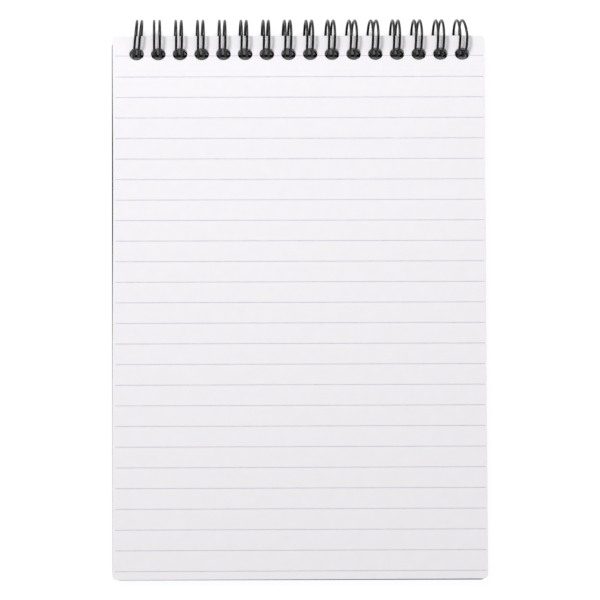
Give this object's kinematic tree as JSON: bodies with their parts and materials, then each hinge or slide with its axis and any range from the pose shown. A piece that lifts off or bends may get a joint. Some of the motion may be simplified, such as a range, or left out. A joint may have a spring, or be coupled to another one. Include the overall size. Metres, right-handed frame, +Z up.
{
  "type": "reporter notebook",
  "caption": "Head-bound notepad: ruled sheets on a closed twin-loop wire, with a stiff back board and a front cover folded round behind it",
  "frame": {"origin": "under the middle of the notebook, level with the lowest point of the wire loops", "axes": "+X along the binding, to the right when read; +Y towards the head, where the loops are; +Z up, out of the top sheet"},
  "size_m": [0.1464, 0.2188, 0.0149],
  "materials": {
    "sheets": "uncoated, smooth",
    "ruling": "printed, matt",
    "wire": "gloss nylon coat on steel wire",
    "board": "matt laminated greyboard",
    "cover": "matt laminated card"
  },
  "bodies": {
    "front_cover": {"front_cover": "cover"},
    "back_board": {"back_board": "board"},
    "pad": {"page_block": "sheets", "ruled_lines": "ruling", "twin_loop_wire": "wire"}
  },
  "joints": [
    {"name": "front_cover_hinge", "type": "hinge", "parent": "front_cover", "child": "back_board", "pos_m": [0, 0.10197, 0.00745], "axis": [-1, 0, 0], "range_deg": [0, 150]},
    {"name": "back_board_hinge", "type": "hinge", "parent": "back_board", "child": "pad", "pos_m": [0, 0.10197, 0.00745], "axis": [-1, 0, 0], "range_deg": [0, 30]}
  ]
}
